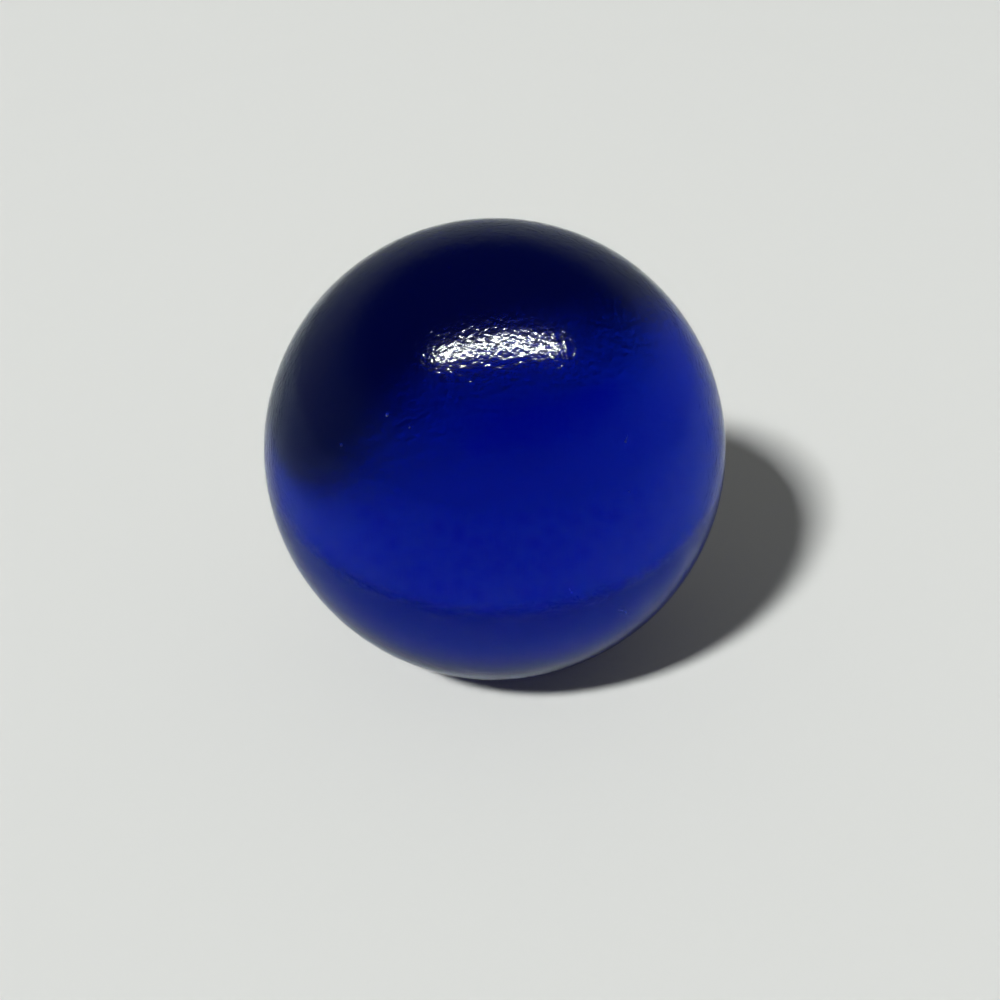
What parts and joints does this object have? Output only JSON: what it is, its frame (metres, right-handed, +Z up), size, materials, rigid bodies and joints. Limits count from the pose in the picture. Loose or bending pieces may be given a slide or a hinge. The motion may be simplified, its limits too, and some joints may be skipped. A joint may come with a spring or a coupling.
{
  "type": "glass marble",
  "caption": "Solid round ball of clear deep blue glass with a softly pebbled polished surface, lightly nicked by use.",
  "frame": {"origin": "centre of the ball", "axes": "+Z up as the ball is seen on its stand, -Y towards the viewer, +X to the viewer's right; the marks of use are on the -Y side"},
  "size_m": [0.042, 0.042, 0.042],
  "materials": {
    "cobalt_glass": "clear cobalt blue glass, polished, with a fine pebbled surface"
  },
  "bodies": {
    "root": {"marble": "cobalt_glass"}
  },
  "joints": []
}
